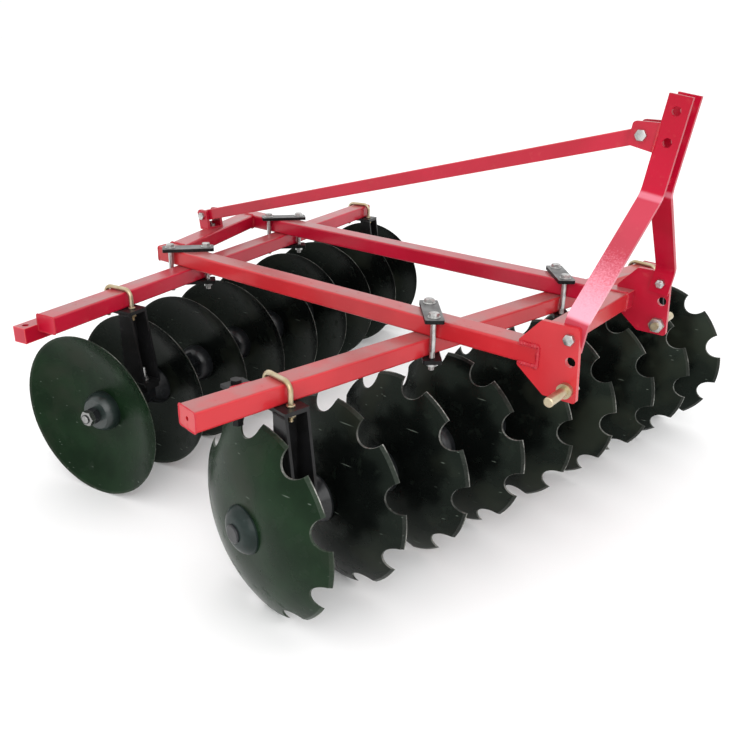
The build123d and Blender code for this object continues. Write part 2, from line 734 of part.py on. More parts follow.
with BuildPart() as brace_bolts:
    outer = strap_gap / 2 + strap_t
    for pivot in (rear_pivot, front_pivot):
        shank = Location((pivot.X, pivot.Y - outer - bolt_r, pivot.Z), (-90, 0, 0))
        with BuildSketch(placed(shank, Plane.XY)):
            Circle(bolt_r)
        extrude(amount=2 * outer + 4 * bolt_r)
        add(hexagon(shank, head_share * bolt_r, bolt_r))
        far = Location((pivot.X, pivot.Y + outer, pivot.Z), (-90, 0, 0))
        add(hexagon(far, head_share * bolt_r, nut_height * bolt_r))
    foot_place = base * Location((foot_x, 0, rail_top))
    with BuildSketch(placed(foot_place, Plane.XY)):
        Circle(foot_bolt_r)
    extrude(amount=lug_foot_t + foot_bolt_r)
    add(hexagon(foot_place * Location((0, 0, lug_foot_t)), nut_share * foot_bolt_r, foot_bolt_r))
save(brace_bolts.part, "brace_bolts")
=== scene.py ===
import json
import math

import bpy
import numpy as np
from mathutils import Matrix, Vector


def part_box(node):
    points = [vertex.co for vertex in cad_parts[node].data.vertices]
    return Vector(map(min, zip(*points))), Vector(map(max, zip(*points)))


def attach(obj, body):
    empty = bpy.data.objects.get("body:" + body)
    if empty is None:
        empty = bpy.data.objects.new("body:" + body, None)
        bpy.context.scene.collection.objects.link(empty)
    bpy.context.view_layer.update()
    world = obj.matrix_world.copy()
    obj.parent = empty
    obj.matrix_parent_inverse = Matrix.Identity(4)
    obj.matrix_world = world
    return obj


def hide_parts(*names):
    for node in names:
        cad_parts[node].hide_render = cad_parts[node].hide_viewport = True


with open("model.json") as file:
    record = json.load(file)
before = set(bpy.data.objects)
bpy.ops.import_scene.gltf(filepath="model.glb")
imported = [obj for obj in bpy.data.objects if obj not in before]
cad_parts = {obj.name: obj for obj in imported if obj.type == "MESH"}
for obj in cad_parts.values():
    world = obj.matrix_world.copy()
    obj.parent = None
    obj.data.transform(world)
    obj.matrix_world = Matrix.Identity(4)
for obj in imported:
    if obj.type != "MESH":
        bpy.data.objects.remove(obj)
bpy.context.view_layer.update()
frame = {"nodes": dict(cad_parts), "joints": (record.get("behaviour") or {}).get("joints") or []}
scene = bpy.context.scene

# Rails and cross tubes
# Rectangular steel tubes with rounded corners, cut square and welded into a four-sided frame, then sprayed
# with gloss red enamel. The corners are painted paler, partly paint rubbed thin there and partly a painted
# highlight along the edges.


class Tone:
    """One output socket of a material.
    Arithmetic on it, with another one or with a number, adds a Math node."""

    def __init__(self, socket):
        self.socket = socket

    def node(self, kind, settings, sockets, output=0):
        """Any other node: its type, its settings, which are set first, and values or links by socket."""
        tree = self.socket.id_data
        made = tree.nodes.new(kind)
        for key, value in settings.items():
            setattr(made, key, value)
        for key, value in sockets.items():
            if isinstance(value, Tone):
                tree.links.new(value.socket, made.inputs[key])
            else:
                made.inputs[key].default_value = value
        return Tone(made.outputs[output])

    def math(self, operation, first, second=0.0):
        """One step of arithmetic on tones or numbers."""
        return self.node("ShaderNodeMath", {"operation": operation}, {0: first, 1: second})

    def __add__(self, other):
        return self.math("ADD", self, other)

    def __sub__(self, other):
        return self.math("SUBTRACT", self, other)

    def __rsub__(self, other):
        return self.math("SUBTRACT", other, self)

    def __mul__(self, other):
        return self.math("MULTIPLY", self, other)

    def __abs__(self):
        return self.math("ABSOLUTE", self)

    __radd__ = __add__
    __rmul__ = __mul__


def new_finish(name):
    """An empty finish: the material, its surface shader, and the place on the piece."""
    material = bpy.data.materials.new(name)
    material.use_nodes = True
    tree = material.node_tree
    place = Tone(tree.nodes.new("ShaderNodeTexCoord").outputs["Object"])
    return material, tree.nodes["Principled BSDF"], place


def feed(shader, sockets):
    """Links each tone to the shader's socket, and sets each number or colour on it."""
    for key, value in sockets.items():
        if isinstance(value, Tone):
            shader.id_data.links.new(value.socket, shader.inputs[key])
        else:
            shader.inputs[key].default_value = value


def grain(place, scale, detail):
    """Cloudy noise about one half. The scale is its patches to a metre, and detail adds finer layers."""
    return place.node("ShaderNodeTexNoise", {}, {"Vector": place, "Scale": scale, "Detail": detail})


def ease(value, low, high):
    """Nothing under low, one over high, and a smooth rise between them."""
    settings = {"interpolation_type": "SMOOTHSTEP"}
    return value.node("ShaderNodeMapRange", settings, {"Value": value, "From Min": low, "From Max": high})


def mixed(mask, first, second):
    """The first colour where the mask is nothing and the second where it is one."""
    return mask.node("ShaderNodeMix", {"data_type": "RGBA"}, {0: mask, 6: first, 7: second}, 2)


def raised(height, strength, distance):
    """Tilts the skin as if it rose by the height times the distance."""
    return height.node("ShaderNodeBump", {}, {"Height": height, "Strength": strength, "Distance": distance})


def measured(place, start, direction):
    """Distance from the start along a direction: the dot product of the direction and the way from
    the start."""
    away = place.node("ShaderNodeVectorMath", {"operation": "SUBTRACT"}, {0: place, 1: tuple(start)})
    return away.node("ShaderNodeVectorMath", {"operation": "DOT_PRODUCT"}, {0: away, 1: tuple(direction)}, 1)


def edge_gap(place, centre, axes, halves):
    """Distance from the nearest edge of a box: the second smallest of the distances from its three pairs
    of faces."""
    gaps = [half - abs(measured(place, centre, axis)) for axis, half in zip(axes, halves)]
    near = place.math("MINIMUM", gaps[0], gaps[1])
    far = place.math("MAXIMUM", gaps[0], gaps[1])
    return place.math("MAXIMUM", near, place.math("MINIMUM", far, gaps[2]))


dust_sheen_start, dust_sheen_full = 0.0015, 0.0003


def on_top(rise, top):
    """Nothing well under the top, and one in the last third of a millimetre: settled dust and a painted
    sheen.
    """
    return ease(rise, top - dust_sheen_start, top - dust_sheen_full)


# Lit and shaded copies of one red enamel: the lit red stands for parts that face the light, the bluer shaded
# red is painted shade with a painted sky reflection, and the welds take a half-lit red between them.
lit_red = ((0.405, 0.011, 0.017, 1), (0.495, 0.018, 0.025, 1))
half_lit_red = ((0.390, 0.007, 0.018, 1), (0.475, 0.010, 0.026, 1))
shaded_red = ((0.370, 0.003, 0.019, 1), (0.455, 0.004, 0.028, 1))
# Paler red of the edges: partly rubbed paint and partly a painted highlight.
rubbed_and_highlit_red = (0.66, 0.060, 0.065, 1)
dust_red = (0.45, 0.045, 0.048, 1)
# Paler pink-grey of the tops: partly settled dust and partly a painted sheen from above.
dust_and_top_sheen = (0.28, 0.12, 0.115, 1)
# Pale pink of a painted sheen and a painted fold highlight on the straps, with the sizes of their edges.
painted_sheen_pink = (0.90, 0.40, 0.50, 1)
rub_highlight_full, rub_highlight_end, rub_highlight_ragged = 0.0006, 0.0030, 0.0016
sheen_edge, sheen_speckle = 0.012, 0.09
fold_highlight_full, fold_highlight_end, fold_edge = 0.003, 0.010, 0.006


def red_enamel(name, reds, box=None, strap=None, coat=0.22, gloss=0.32):
    """Clouded red with a fine orange-peel skin and dull flecks of dust. On a box the edges are painted paler,
    partly rubbed paint and partly a painted highlight, and the top is painted paler, partly settled dust and
    partly a painted sheen from above. On a bent strap a painted highlight runs along the fold, a faint
    painted sheen lies below the fold, and a speckled painted sheen starts at one height and thins out up to
    another."""
    material, shader, place = new_finish(name)
    colour = mixed(ease(grain(place, 6.0, 3.0), 0.3, 0.7), *reds)
    dust = ease(grain(place, 60.0, 6.0), 0.60, 0.74)
    colour = mixed(dust * 0.35, colour, dust_red)
    if box:
        centre, axes, halves = box
        # The top is painted paler: partly settled dust and partly a painted sheen from above.
        top = on_top(measured(place, centre, axes[2]), halves[2])
        top_dust_and_sheen = top * (0.30 + ease(grain(place, 9.0, 4.0), 0.40, 0.62) * 0.45)
        colour = mixed(top_dust_and_sheen, colour, dust_and_top_sheen)
        # The edges are painted paler: partly rubbed paint and partly a painted highlight.
        gap = edge_gap(place, centre, axes, halves) + (grain(place, 140.0, 3.0) - 0.5) * rub_highlight_ragged
        colour = mixed((1 - ease(gap, rub_highlight_full, rub_highlight_end)) * 0.6, colour, rubbed_and_highlit_red)
    if strap:
        # On a strap: a speckled painted sheen between two heights, a faint painted sheen below the fold, and
        # a painted highlight along the fold.
        foot, axis, share, low, high, fold = strap
        rise = measured(place, foot, axis)
        speckled = rise + (grain(place, 260.0, 2.0) - 0.5) * sheen_speckle
        painted_sheen = ease(rise, low - sheen_edge, low) * (1 - ease(speckled, low, high)) * share
        sheen_under_fold = (1 - ease(rise, fold - fold_edge, fold)) * (0.12 * share)
        painted_sheen = place.math("MAXIMUM", painted_sheen, sheen_under_fold)
        fold_highlight = (1 - ease(abs(rise - fold), fold_highlight_full, fold_highlight_end)) * 0.40
        colour = mixed(place.math("MAXIMUM", painted_sheen, fold_highlight), colour, painted_sheen_pink)
    skin = grain(place, 420.0, 1.0) + grain(place, 45.0, 2.0) * 0.6
    feed(shader, {
        "Base Color": colour,
        "Roughness": 0.27 + dust * 0.2 + grain(place, 25.0, 3.0) * 0.08,
        "Normal": raised(skin, 0.10, 0.0006),
        "Coat Weight": coat,
        "Coat Roughness": 0.12,
        "Specular IOR Level": gloss,
    })
    return material


def dress(material, *names):
    """Gives the finish to solids of the frame."""
    for name in names:
        for slot in frame["nodes"][name].material_slots:
            slot.material = material


def span(name):
    """Lowest and highest corner of one of the frame's solids."""
    return [np.array(corner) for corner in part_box(name)]


def surface(rings, joined=False):
    """Skin over rings of points: quads between neighbouring rings, and a fan to the middle of each end ring.
    Where the last ring joins the first there are no fans. The faces are turned to point outwards."""
    rows, columns = rings.shape[:2]
    index = np.arange(rows * columns).reshape(rows, columns)
    after = np.roll(index, -1, axis=1)
    high, high_after = np.roll(index, -1, axis=0), np.roll(after, -1, axis=0)
    kept = rows if joined else rows - 1
    quads = np.stack([index, after, high_after, high], -1)[:kept].reshape(-1, 4)
    corners = rings.reshape(-1, 3)
    fans = np.empty((0, 3), int)
    if not joined:
        corners = np.vstack([corners, rings[0].mean(0), rings[-1].mean(0)])
        first, last = np.full(columns, rows * columns), np.full(columns, rows * columns + 1)
        first_fan = np.stack([first, after[0], index[0]], -1)
        last_fan = np.stack([last, index[-1], after[-1]], -1)
        fans = np.vstack([first_fan, last_fan])
    triangles = np.vstack([quads[:, [0, 1, 2]], quads[:, [0, 2, 3]], fans])
    one, two, three = corners[triangles[:, 0]], corners[triangles[:, 1]], corners[triangles[:, 2]]
    if np.sum(one * np.cross(two, three)) < 0:
        quads, fans = quads[:, ::-1], fans[:, ::-1]
    return corners, quads, fans


sharp_corner = math.radians(38)


def piece(name, skins, material, body, stands_for=()):
    """Joins skins into one piece that rides on a body, smooth except across sharp corners."""
    faces = []
    start = 0
    for corners, quads, fans in skins:
        faces += (quads + start).tolist() + (fans + start).tolist()
        start += len(corners)
    mesh = bpy.data.meshes.new(name)
    mesh.from_pydata(np.vstack([skin[0] for skin in skins]).tolist(), [], faces)
    mesh.shade_smooth()
    mesh.set_sharp_from_angle(angle=sharp_corner)
    mesh.materials.append(material)
    made = bpy.data.objects.new(name, mesh)
    scene.collection.objects.link(made)
    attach(made, body)
    if stands_for:
        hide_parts(*stands_for)


def unit(vector):
    """The vector over its own length."""
    return vector / np.linalg.norm(vector, axis=-1, keepdims=True)


def run_along(path):
    """Length of a path from its first point to each of its points."""
    return np.concatenate([[0], np.cumsum(np.linalg.norm(np.diff(path, axis=0), axis=1))])


def swept(path, radius, side, joined=False):
    """Rings of the given radii, one row for each point of a path, square to the path.
    The rings' first direction is the path's cross product with a side direction that it never runs along."""
    ahead = np.roll(path, -1, axis=0) - np.roll(path, 1, axis=0) if joined else np.gradient(path, axis=0)
    first = unit(np.cross(ahead, side))
    second = np.cross(unit(ahead), first)
    turn = np.linspace(0, 2 * np.pi, radius.shape[1], endpoint=False)[:, None]
    ring = np.cos(turn) * first[:, None] + np.sin(turn) * second[:, None]
    return surface(path[:, None] + radius[..., None] * ring, joined)


bead_points = 8
bead_step = 0.35
ripple, ripple_lag = 0.28, 0.3
slow_waves = ((0.12, 0.0047), (0.10, 0.0131))
blunt_end = 0.02


def weld(points, side, throat, joined=False):
    """A weld bead: a small ring carried along the joint at even steps. Its radius swells in crescent
    ripples, the sine of the run along the joint with a lag round the ring. Two slower sines make it uneven,
    and open ends taper in a half circle."""
    points = np.asarray(points, float)
    run = run_along(points)
    even = np.linspace(0, run[-1], int(run[-1] / (bead_step * throat)), endpoint=not joined)
    path = np.stack([np.interp(even, run, points[:, axis]) for axis in range(3)], -1)
    turn = np.linspace(0, 2 * np.pi, bead_points, endpoint=False)
    swell = np.abs(np.sin(np.pi * (even[:, None] / throat + ripple_lag * np.cos(turn))))
    radius = throat * (1 - ripple + ripple * swell)
    radius *= 1 + sum(share * np.sin(even / length) for share, length in slow_waves)[:, None]
    if not joined:
        near_end = np.clip(np.minimum(even, run[-1] - even) / throat, 0, 1)
        radius *= np.sqrt(np.clip(1 - (1 - near_end) ** 2, blunt_end, 1))[:, None]
    return swept(path, radius, side, joined)


ring_points = 48


def tube_outline(centre, across, upward, width, height, corner):
    """Closed outline of a tube's section: four quarter circles joined by its straight sides."""
    turn = np.linspace(0, 2 * np.pi, ring_points, endpoint=False) + np.pi / (2 * ring_points)
    wide = np.sign(np.cos(turn)) * (width / 2 - corner) + corner * np.cos(turn)
    tall = np.sign(np.sin(turn)) * (height / 2 - corner) + corner * np.sin(turn)
    ring = np.asarray(centre) + wide[:, None] * np.asarray(across) + tall[:, None] * np.asarray(upward)
    return np.vstack([ring, ring[:1]])


tube_w = 0.060
tube_h = 0.045
tube_corner = 0.006
joint_throat = 0.0045
cap_throat = 0.0016
forward, leftward, upward = np.eye(3)
square = (forward, leftward, upward)
# The near rail and the front tube take the lit red and the far rail the shaded red: painted light and shade.
for name, reds in (("right_rail", lit_red), ("left_rail", shaded_red), ("front_cross_tube", lit_red)):
    low, high = span(name)
    dress(red_enamel(name + "_paint", reds, ((low + high) / 2, square, (high - low) / 2)), name)

right_low, right_high = span("right_rail")
left_low, left_high = span("left_rail")
cross_low, cross_high = span("rear_cross_tube")
slant = (left_low[0] - right_low[0]) / (left_low[1] - right_low[1])
cross_along = unit(np.array([slant, 1.0, 0.0]))
cross_square = np.array([cross_along[1], -cross_along[0], 0.0])
cross_run = tube_w * math.hypot(1, slant)
cross_middle = (cross_low + cross_high) / 2
cross_length = (cross_high[1] - cross_low[1]) / cross_along[1]
# This box runs past the welded ends, so only the tube's long edges get the paler rub and painted highlight.
cross_box = (cross_middle, (cross_along, cross_square, upward), (cross_length, tube_w / 2, tube_h / 2))
# The rear tube takes the shaded red: painted shade.
dress(red_enamel("rear_cross_paint", shaded_red, cross_box), "rear_cross_tube")

rail_z = (right_low[2] + right_high[2]) / 2
front_x = right_high[0] - tube_w / 2
frame_welds = []
for y, x in ((cross_low[1], cross_high[0] - cross_run / 2), (cross_high[1], cross_low[0] + cross_run / 2)):
    front_ring = tube_outline((front_x, y, rail_z), forward, upward, tube_w, tube_h, tube_corner)
    rear_ring = tube_outline((x, y, rail_z), forward, upward, cross_run, tube_h, tube_corner)
    for ring in (front_ring, rear_ring):
        frame_welds.append(weld(ring, leftward, joint_throat, True))
for low, high in ((right_low, right_high), (left_low, left_high)):
    middle_y = (low[1] + high[1]) / 2
    back_ring = tube_outline((low[0], middle_y, rail_z), leftward, upward, tube_w, tube_h, tube_corner)
    frame_welds.append(weld(back_ring, forward, cap_throat, True))

# Gang beams, side bar and side bracket
# Two tubes of the same section lie under the rails at an angle, with welded end caps. A solid bar with a pin
# hole is welded behind the right end of the rear beam, and a small black plate with a long bolt behind the
# right end of the front one.
gang_axles = {}
gang_lines = {}
for joint in frame["joints"]:
    gang = joint["child"].split("_")[0]
    gang_axles[gang] = np.array(joint["pos_m"], float)
    gang_lines[gang] = np.array(joint["axis"], float)


def slanted_box(name, along, width):
    """Centre, directions and half sizes of a straight bar that lies at an angle, from its upright box."""
    across = np.cross(upward, along)
    low, high = span(name)
    length = (high[1] - low[1] - width * abs(across[1])) / abs(along[1])
    return (low + high) / 2, (along, across, upward), (length / 2, width / 2, (high[2] - low[2]) / 2)


for gang, along in gang_lines.items():
    box = slanted_box(gang + "_gang_beam", along, tube_w)
    # The front beam takes the lit red and the rear beam the shaded red: painted light and shade.
    reds = lit_red if gang == "front" else shaded_red
    dress(red_enamel(gang + "_beam_paint", reds, box), gang + "_gang_beam")
    for end in (-1, 1):
        cap = box[0] + end * box[2][0] * along
        ring = tube_outline(cap, box[1][1], upward, tube_w, tube_h, tube_corner)
        frame_welds.append(weld(ring, along, cap_throat, True))

side_bar_w = 0.040
rear_along = gang_lines["rear"]
bar_box = slanted_box("rear_side_bar", rear_along, side_bar_w)
# The side bar takes the shaded red: painted shade.
dress(red_enamel("side_bar_paint", shaded_red, bar_box), "rear_side_bar")
rear_across = bar_box[1][1]
beam_box = slanted_box("rear_gang_beam", rear_along, tube_w)
beam_face = beam_box[0] - beam_box[2][0] * rear_along + tube_w / 2 * rear_across
bar_stop = bar_box[0] + bar_box[2][0] * rear_along - bar_box[2][1] * rear_across
for height in (bar_box[0][2] + bar_box[2][2], span("rear_gang_beam")[0][2]):
    line = np.stack([beam_face, bar_stop])
    line[:, 2] = height
    frame_welds.append(weld(line, upward, joint_throat))

bracket_w = 0.034
front_along = gang_lines["front"]
bracket_box = slanted_box("front_side_bracket", front_along, bracket_w)
bracket_edge = bracket_box[0] - bracket_box[2][1] * bracket_box[1][1] + bracket_box[2][2] * upward
bracket_ends = [bracket_edge + end * bracket_box[2][0] * front_along for end in (-1, 1)]
frame_welds.append(weld(bracket_ends, upward, joint_throat))

# Hitch plates and lower pins
# Flame-cut plates slipped round the rail ends and welded, with the tractor's lower link pins bolted through
# them. The pins are turned steel with yellow zinc plating, each with a collar outside and a nut inside.
# The near hitch plate takes a brighter lit red and the far plate the shaded red: painted light and shade.
lit_plate_red = ((0.47, 0.015, 0.022, 1), (0.56, 0.023, 0.031, 1))
plate_throat = 0.0062
sides = {"right": -1, "left": 1}
dress(red_enamel("plate_paint", lit_plate_red), "right_hitch_plate")
shaded_red_finish = red_enamel("shaded_plate_paint", shaded_red)
dress(shaded_red_finish, "left_hitch_plate")


def plate_face(name, side):
    """Where the face on one side of a hitch plate lies across the machine."""
    low, high = span(name + "_hitch_plate")
    return low[1] if side < 0 else high[1]


for name, side in sides.items():
    rail_low, rail_high = span(name + "_rail")
    outer = plate_face(name, side)
    back = span(name + "_hitch_plate")[0][0]
    front, top, foot = rail_high[0], rail_high[2], rail_low[2]
    loop = [(back, outer, top), (front, outer, top), (front, outer, foot), (back, outer, foot)]
    frame_welds.append(weld(loop, leftward, plate_throat))

straw = (0.43, 0.34, 0.20, 1)
pale_gold = (0.53, 0.46, 0.32, 1)
rose_gold = (0.56, 0.41, 0.34, 1)
dull_gold = (0.30, 0.25, 0.14, 1)


def yellow_plating(name):
    """Pale gold plating that drifts to straw and faint rose, with fine dull specks that roughen it."""
    material, shader, place = new_finish(name)
    drift = grain(place, 26.0, 2.0)
    colour = mixed(ease(drift, 0.35, 0.65), straw, pale_gold)
    colour = mixed(ease(grain(place, 48.0, 2.0), 0.58, 0.75) * 0.5, colour, rose_gold)
    specks = ease(grain(place, 420.0, 3.0), 0.60, 0.72)
    colour = mixed(specks * 0.4, colour, dull_gold)
    feed(shader, {
        "Base Color": colour,
        "Metallic": 0.92,
        "Roughness": 0.30 + specks * 0.2 + drift * 0.1,
        "Normal": raised(grain(place, 700.0, 2.0), 0.08, 0.0004),
    })
    return material


gold = yellow_plating("yellow_plating")
dress(gold, "right_lower_hitch_pin", "left_lower_hitch_pin")

# Mast, spacer and ears
# Two flat bars bent inwards from the hitch plates to a pair of holes for the top link, kept apart by a
# spacer. Flat ears for the brace are welded on their rear edges, and a bolt through each hitch plate holds
# each bar's foot.
# The spacer and ears take the shaded red: painted shade.
dress(shaded_red_finish, "mast_spacer", "mast_ears")
lean = math.radians(8)
bolt_low, bolt_high = span("right_strap_bolt")
spacer_low, spacer_high = span("mast_spacer")
middle_y = (spacer_low[1] + spacer_high[1]) / 2
mast_foot = np.array([(bolt_low[0] + bolt_high[0]) / 2, middle_y, (bolt_low[2] + bolt_high[2]) / 2])
mast_up = np.array([math.sin(lean), 0, math.cos(lean)])
mast_fore = np.array([math.cos(lean), 0, -math.sin(lean)])
# The near strap carries the painted sheen and the far one only the painted highlight along the kink; both
# straps take the shaded red, as painted shade.
sheen_low, sheen_high = 0.045, 0.200
strap_kink = 0.268
sheen_shares = {"right_mast_strap": 0.85, "left_mast_strap": 0.0}
for name, share in sheen_shares.items():
    bent = (mast_foot, mast_up, share, sheen_low, sheen_high, strap_kink)
    dress(red_enamel(name + "_paint", shaded_red, strap=bent, coat=0.08, gloss=0.16), name)

strap_half = 0.025
strap_outer = 0.032
strap_inner = 0.022
ear_low, ear_high = 0.356, 0.418
lug_throat = 0.003
spacer_edges = (0.294, 0.304)
spacer_half = 0.017
spacer_throat = 0.0025
for side in sides.values():
    for y in (strap_inner, strap_outer):
        root = mast_foot - strap_half * mast_fore + side * y * leftward
        frame_welds.append(weld([root + ear_low * mast_up, root + ear_high * mast_up], leftward, lug_throat))
    for rise in spacer_edges:
        root = mast_foot + rise * mast_up + side * strap_inner * leftward
        line = [root - spacer_half * mast_fore, root + spacer_half * mast_fore]
        frame_welds.append(weld(line, upward, spacer_throat))


def turned(radius, height, foot, axis, joined=False):
    """Rings round an axis, from arrays of radius and height along it that have a row for each ring.
    Where a row has many values they follow the angle, so the ring may have flats or a thread."""
    axis = np.asarray(axis, float)
    side = unit(np.cross(axis, upward if abs(axis[2]) < 0.9 else forward))
    radius, height = np.broadcast_arrays(radius, height)
    columns = ring_points if radius.shape[1] == 1 else radius.shape[1]
    turn = np.linspace(0, 2 * np.pi, columns, endpoint=False)
    radius, height = np.broadcast_arrays(radius, height + 0 * turn)
    ring = np.cos(turn)[:, None] * side + np.sin(turn)[:, None] * np.cross(axis, side)
    return surface(np.asarray(foot) + radius[..., None] * ring + height[..., None] * axis, joined)


face_share = 0.95


def hexagon(foot, axis, corner_r, thick, chamfer=(True, True)):
    """Hexagon nut or head: at each angle the radius is the flat's distance over the cosine of the angle from
    the flat's middle. A cone of thirty degrees cuts the corners, so each rim dips towards them, at the near
    face, the far face or both."""
    turn = np.linspace(0, 2 * np.pi, ring_points, endpoint=False)
    flat = corner_r * math.cos(math.pi / 6)
    outline = flat / np.cos(turn % (np.pi / 3) - np.pi / 6)
    face = np.full(ring_points, face_share * flat)
    dip = (outline - face) * math.tan(math.radians(30))
    low, high = (dip if cut else 0 * dip for cut in chamfer)
    radius = np.stack([face if chamfer[0] else outline, outline, outline, face if chamfer[1] else outline])
    height = np.stack([0 * dip, low, thick - high, thick + 0 * dip])
    return turned(radius, height, foot, axis)


def washer(foot, axis, outer_r, inner_r, thick):
    """Flat ring with softly rounded outer corners, closed through its bore."""
    soft = 0.25 * thick
    radius = np.array([inner_r, outer_r - soft, outer_r, outer_r, outer_r - soft, inner_r])[:, None]
    height = np.array([0, 0, soft, thick - soft, thick, thick])[:, None]
    return turned(radius, height, foot, axis, True)


def nut_on_washer(foot, axis, bolt_r, washer_size, nut_size, chamfer=(True, True)):
    """A washer, given by its radius and thickness, and a hexagon nut on it, given by the radius at its
    corners and its height over the washer's foot."""
    outer_r, thick = washer_size
    corner_r, rise = nut_size
    nut = hexagon(foot + thick * axis, axis, corner_r, rise - thick, chamfer)
    return [washer(foot, axis, outer_r, bolt_r, thick), nut]


pitch_share = 0.22
thread_depth = 0.6
rod_points = 24


def thread_cut(run, pitch, threaded, end_gap, columns):
    """Depth taken off a rod's radius: on the thread, a share of the pitch times a triangle wave of the run in
    pitches less the angle in turns, and over the last pitch a chamfer."""
    wave = np.abs(2 * ((run / pitch - np.arange(columns) / columns) % 1) - 1)
    thread = np.where(threaded, thread_depth * pitch * wave, 0)
    return np.maximum(thread, np.clip(pitch - end_gap, 0, pitch))


def threaded_rod(foot, axis, radius, plain, length):
    """Plain rod, then a thread up to the end: rings at fifths of a pitch, less the depth of the thread."""
    pitch = pitch_share * radius
    height = np.concatenate([[0, plain - pitch], np.arange(plain, length, pitch / 5), [length]])[:, None]
    cut = thread_cut(height, pitch, height >= plain, length - height, rod_points)
    return turned(radius - cut, height, foot, axis)


def zinc_plating(name, shade=1.0):
    """Bright zinc: soft grey patches, fine brushing specks and a dull bloom that varies the gloss."""
    material, shader, place = new_finish(name)
    cells = place.node("ShaderNodeTexVoronoi", {}, {"Vector": place, "Scale": 380.0})
    bloom = grain(place, 70.0, 4.0)
    greys = (shade * 0.50, shade * 0.34, shade * 0.70)
    pale, dull, bright = ((grey, grey, 0.98 * grey, 1) for grey in greys)
    colour = mixed(ease(bloom, 0.35, 0.7), pale, dull)
    colour = mixed(ease(cells, 0.3, 0.75) * 0.25, colour, bright)
    feed(shader, {
        "Base Color": colour,
        "Metallic": 0.95,
        "Roughness": 0.24 + bloom * 0.22,
        "Normal": raised(grain(place, 900.0, 2.0), 0.08, 0.0004),
    })
    return material


zinc = zinc_plating("zinc_plating")
strap_t = 0.010
plate_t = 0.012
gripped = plate_t + strap_t
strap_bolt_r = 0.008
strap_head_corner = 1.6 * strap_bolt_r
strap_head_t = 0.010
strap_nut_corner = 1.45 * strap_bolt_r
strap_nut_t = 0.0128
strap_bolt_length = 0.042
for name, side in sides.items():
    inwards = -side * leftward
    head = np.array([mast_foot[0], plate_face(name, side), mast_foot[2]])
    skins = [
        hexagon(head - strap_head_t * inwards, inwards, strap_head_corner, strap_head_t, (True, False)),
        hexagon(head + gripped * inwards, inwards, strap_nut_corner, strap_nut_t, (False, True)),
        threaded_rod(head, inwards, strap_bolt_r, gripped, strap_bolt_length),
    ]
    piece(name + "_strap_bolt_detail", skins, zinc, "frame", (name + "_strap_bolt",))

pin_nut_corner = 0.0202
pin_nut_t = 0.0146
skins = []
for name, side in sides.items():
    pin_low, pin_high = span(name + "_lower_hitch_pin")
    seat = (pin_low + pin_high) / 2
    seat[1] = plate_face(name, -side)
    skins.append(hexagon(seat, -side * leftward, pin_nut_corner, pin_nut_t, (False, True)))
piece("lower_pin_nuts", skins, zinc, "frame")

# Brace and clevis
# A tube from the mast's ears down to a folded lug on the rear cross tube, pinned at each end by a long bolt
# with a washer under its nut. A short bolt and welds along its two legs hold the lug's foot.
brace_low, brace_high = span("brace_bolts")
clevis_low, clevis_high = span("brace_clevis")
pivot_corner = 0.0128
pivot_flat = pivot_corner * math.cos(math.pi / 6)
lug_rise = 0.041
rear_pivot = np.array([brace_low[0] + pivot_corner, middle_y, clevis_low[2] + lug_rise])
front_pivot = np.array([brace_high[0] - pivot_corner, middle_y, brace_high[2] - pivot_flat])
brace_along = unit(front_pivot - rear_pivot)
brace_over = np.cross(brace_along, leftward)
past_front, past_rear = 0.022, 0.034
brace_front = front_pivot + past_front * brace_along
brace_back = rear_pivot - past_rear * brace_along
brace_axes = (brace_along, leftward, brace_over)
brace_half_w, brace_half_h = 0.020, 0.017
brace_halves = (np.linalg.norm(brace_front - brace_back) / 2, brace_half_w, brace_half_h)
brace_box = ((brace_front + brace_back) / 2, brace_axes, brace_halves)
# The brace and its lug take the shaded red: painted shade.
dress(red_enamel("brace_paint", shaded_red, brace_box), "top_brace")
dress(shaded_red_finish, "brace_clevis")

corner_share = 1.8
clevis_t = 0.006
foot_bolt_ahead = 0.008
foot_bolt_r = 0.006
foot_rod_sunk, foot_rod_plain, foot_rod_length = 0.003, 0.002, 0.0105
foot_bolt = np.array([rear_pivot[0] + foot_bolt_ahead, middle_y, clevis_low[2] + clevis_t])
skins = [
    hexagon(foot_bolt, upward, corner_share * foot_bolt_r, foot_bolt_r),
    threaded_rod(foot_bolt - foot_rod_sunk * upward, upward, foot_bolt_r, foot_rod_plain, foot_rod_length),
]
pivot_head_t = 0.008
pivot_washer = (0.0145, 0.002)
pivot_nut = (pivot_corner, 0.0128)
pivot_rod_out, pivot_rod_plain, pivot_rod_length = 0.004, 0.066, 0.092
for pivot in (rear_pivot, front_pivot):
    right_face = pivot - strap_outer * leftward
    left_face = pivot + strap_outer * leftward
    rod_start = right_face - pivot_rod_out * leftward
    skins.append(hexagon(right_face, -leftward, pivot_corner, pivot_head_t, (False, True)))
    skins += nut_on_washer(left_face, leftward, strap_bolt_r, pivot_washer, pivot_nut)
    skins.append(threaded_rod(rod_start, leftward, strap_bolt_r, pivot_rod_plain, pivot_rod_length))
piece("brace_bolt_details", skins, zinc, "frame", ("brace_bolts",))

foot_weld_start = 0.008
for side in sides.values():
    for y in (strap_inner, strap_outer):
        root = np.array([clevis_low[0] + foot_weld_start, middle_y + side * y, clevis_low[2]])
        stop = np.array([clevis_high[0], middle_y + side * y, clevis_low[2]])
        frame_welds.append(weld([root, stop], upward, lug_throat))
# The welds take the half-lit red, between the lit and shaded copies.
piece("frame_welds", frame_welds, red_enamel("weld_paint", half_lit_red), "frame")

